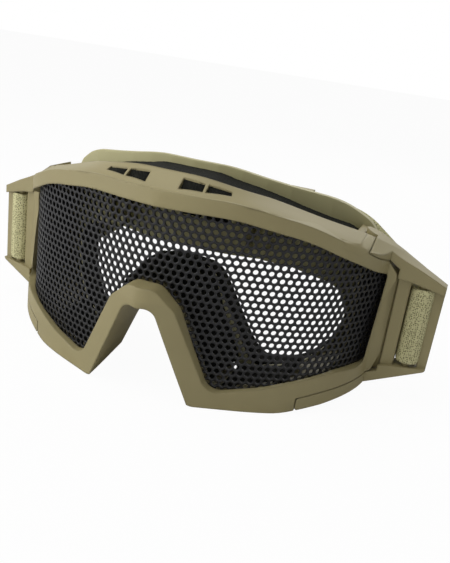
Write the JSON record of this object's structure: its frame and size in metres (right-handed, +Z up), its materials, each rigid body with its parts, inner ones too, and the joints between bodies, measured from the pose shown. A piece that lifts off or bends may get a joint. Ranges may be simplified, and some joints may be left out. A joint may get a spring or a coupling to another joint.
{
  "type": "mesh safety goggles",
  "caption": "Tan safety goggles with a perforated black metal lens, foam-lined vented frame, swivelling strap clips and an elastic strap with sliders.",
  "frame": {"origin": "centre of the bounding box on plan, at the floor that the two nose lobes and the rear lower edge stand on", "axes": "+X across the face to the right as seen from the front, +Y from the lens back to the face, +Z up"},
  "size_m": [0.1894, 0.0914, 0.0804],
  "materials": {
    "tan_plastic": "fine moulded grain, tan",
    "face_plastic": "fine moulded grain, darker tan",
    "black_mesh": "satin black coating on perforated steel",
    "black_foam": "open-cell black foam",
    "pin_steel": "plain steel pin",
    "strap_webbing": "knitted elastic, light tan"
  },
  "bodies": {
    "goggle_frame": {"front_frame": "tan_plastic", "face_frame": "face_plastic", "mesh_lens": "black_mesh", "top_vent_foam": "black_foam", "bottom_vent_foam_left": "black_foam", "bottom_vent_foam_right": "black_foam", "side_vent_foam_left": "black_foam", "side_vent_foam_right": "black_foam", "face_foam": "black_foam", "nose_foam": "black_foam", "hinge_pins_left": "pin_steel", "hinge_pins_right": "pin_steel", "strap_band": "strap_webbing", "strap_tail_left": "strap_webbing", "strap_tail_right": "strap_webbing"},
    "clip_left": {"strap_clip_left": "tan_plastic", "strap_loop_left": "strap_webbing"},
    "clip_right": {"strap_clip_right": "tan_plastic", "strap_loop_right": "strap_webbing"},
    "slider_left": {"strap_slider_left": "tan_plastic"},
    "slider_right": {"strap_slider_right": "tan_plastic"}
  },
  "joints": [
    {"name": "clip_swing_left", "type": "hinge", "parent": "goggle_frame", "child": "clip_left", "pos_m": [-0.066, 0.00976, 0.034], "axis": [0, 0, -1], "range_deg": [0, 6]},
    {"name": "clip_swing_right", "type": "hinge", "parent": "goggle_frame", "child": "clip_right", "pos_m": [0.066, 0.00976, 0.034], "axis": [0, 0, 1], "range_deg": [0, 6]},
    {"name": "slider_travel_left", "type": "slide", "parent": "goggle_frame", "child": "slider_left", "axis": [-1, 0, 0], "range_m": [-0.008, 0.011]},
    {"name": "slider_travel_right", "type": "slide", "parent": "goggle_frame", "child": "slider_right", "axis": [1, 0, 0], "range_m": [-0.008, 0.011]}
  ]
}
